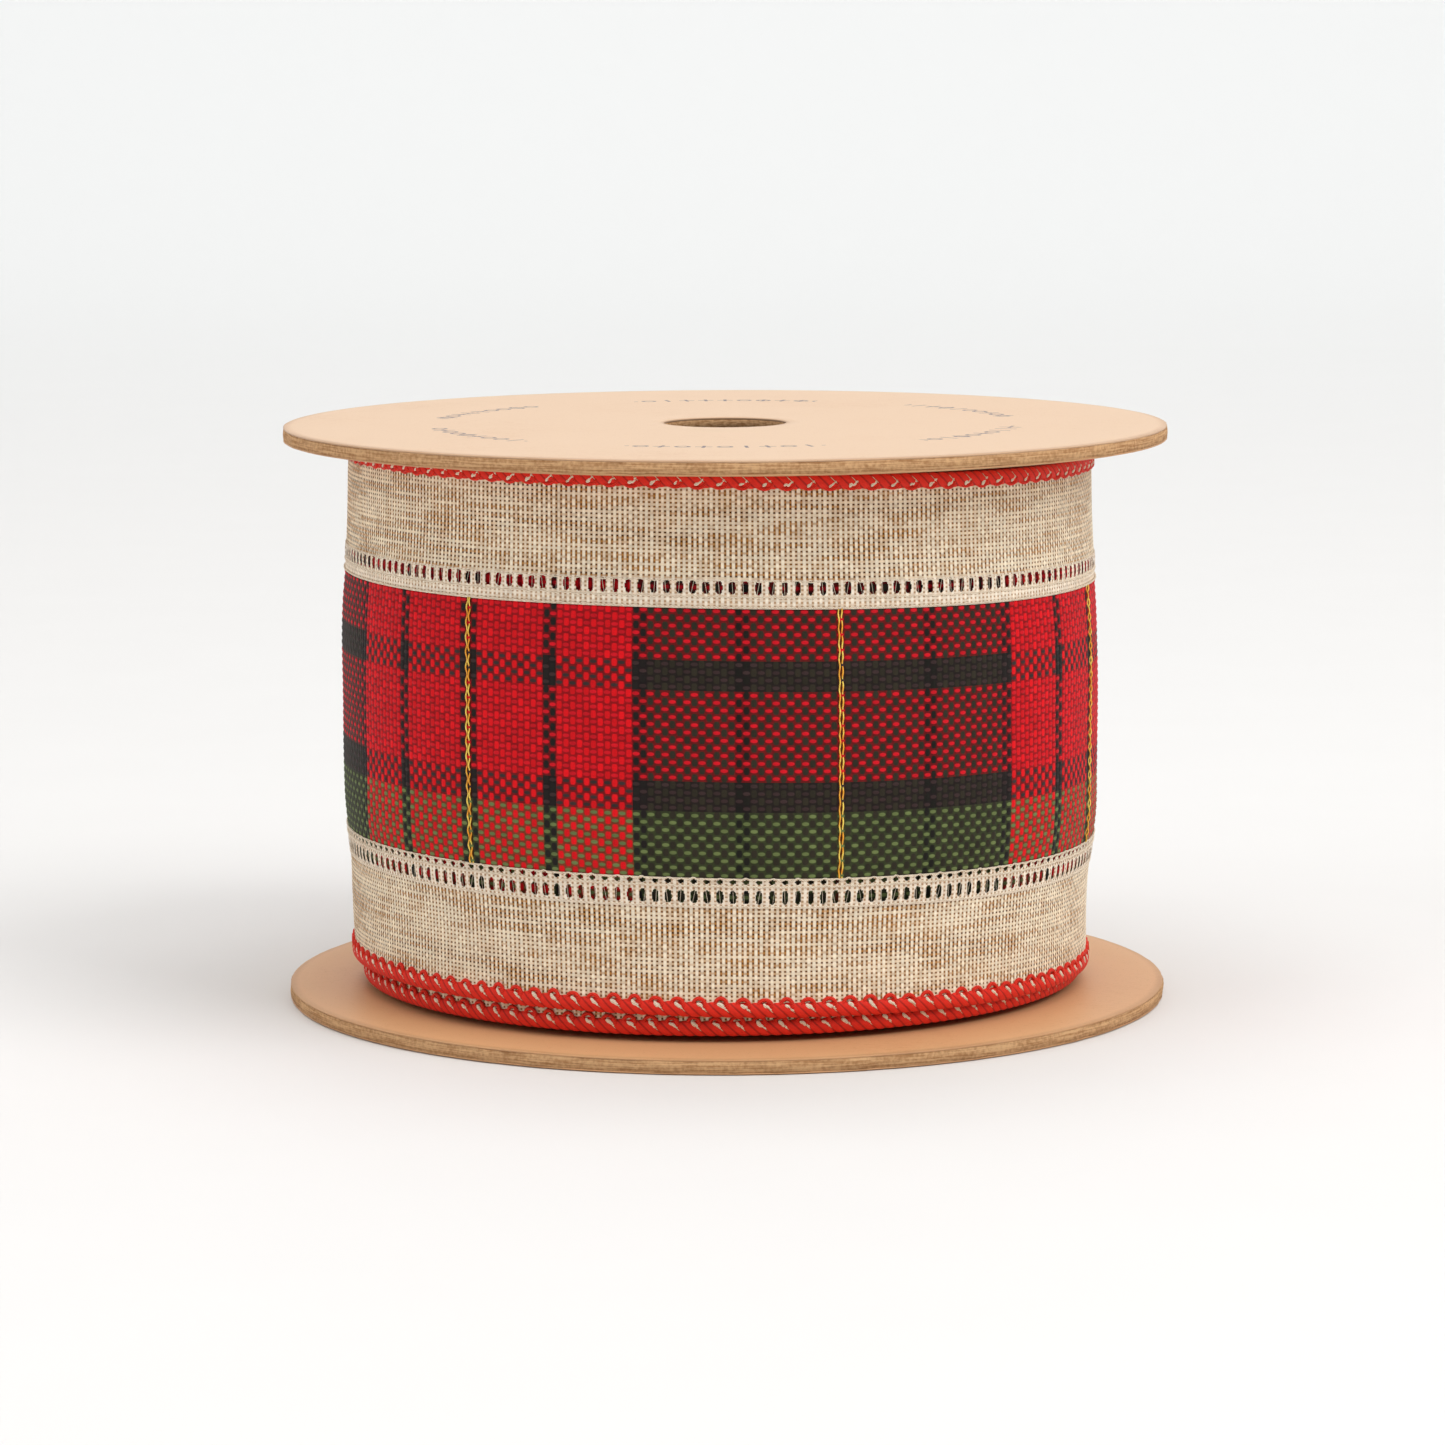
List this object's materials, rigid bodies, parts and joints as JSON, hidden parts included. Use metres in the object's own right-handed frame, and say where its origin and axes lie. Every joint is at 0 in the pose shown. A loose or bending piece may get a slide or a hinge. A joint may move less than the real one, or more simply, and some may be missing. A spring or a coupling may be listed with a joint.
{
  "type": "ribbon spool",
  "caption": "Flanged kraft-board spool of wide wired ribbon, linen borders with a plaid middle band, loose outer turn and a free end that lifts.",
  "frame": {"origin": "centre of the lower flange's outer face", "axes": "+Z along the spool's axis, upward; the ribbon's front faces -Y and its free end lies at +Y"},
  "size_m": [0.108, 0.108, 0.0706],
  "materials": {
    "kraft_paper": "matt unbleached kraft paper",
    "grey_board": "raw cut board with fibres showing",
    "core_board": "spiral-wound paper tube",
    "hot_glue": "translucent set glue",
    "clear_tape": "clear adhesive tape",
    "linen_cloth": "slubby natural linen, plain weave",
    "plaid_cloth": "glossy plaid in red, black and green with gold yarns",
    "openwork_thread": "linen thread drawn into a ladder of slots",
    "red_edging": "red overlock stitching round a wire",
    "edge_wire": "fine soft steel wire"
  },
  "bodies": {
    "spool": {"bottom_flange_board": "grey_board", "bottom_flange_inner_paper": "kraft_paper", "bottom_flange_outer_paper": "kraft_paper", "bottom_glue_ring": "hot_glue", "core_tube": "core_board", "inner_lower_border": "linen_cloth", "inner_lower_edging": "red_edging", "inner_lower_seam": "openwork_thread", "inner_lower_wire": "edge_wire", "inner_plaid_band": "plaid_cloth", "inner_upper_border": "linen_cloth", "inner_upper_edging": "red_edging", "inner_upper_seam": "openwork_thread", "inner_upper_wire": "edge_wire", "start_tape": "clear_tape", "top_flange_board": "grey_board", "top_flange_inner_paper": "kraft_paper", "top_flange_outer_paper": "kraft_paper", "top_glue_ring": "hot_glue"},
    "outer_turn": {"outer_lower_border": "linen_cloth", "outer_lower_edging": "red_edging", "outer_lower_seam": "openwork_thread", "outer_lower_wire": "edge_wire", "outer_plaid_band": "plaid_cloth", "outer_upper_border": "linen_cloth", "outer_upper_edging": "red_edging", "outer_upper_seam": "openwork_thread", "outer_upper_wire": "edge_wire"},
    "free_end": {"end_tape": "clear_tape", "tail_lower_border": "linen_cloth", "tail_lower_edging": "red_edging", "tail_lower_seam": "openwork_thread", "tail_lower_wire": "edge_wire", "tail_plaid_band": "plaid_cloth", "tail_upper_border": "linen_cloth", "tail_upper_edging": "red_edging", "tail_upper_seam": "openwork_thread", "tail_upper_wire": "edge_wire"}
  },
  "joints": [
    {"name": "outer_turn_slide", "type": "slide", "parent": "spool", "child": "outer_turn", "axis": [0, 0, 1], "range_m": [-0.0017, 0]},
    {"name": "free_end_lift", "type": "hinge", "parent": "outer_turn", "child": "free_end", "pos_m": [-0.00017, 0.04632, 0.035], "axis": [0, 0, -1], "range_deg": [0, 70]}
  ]
}
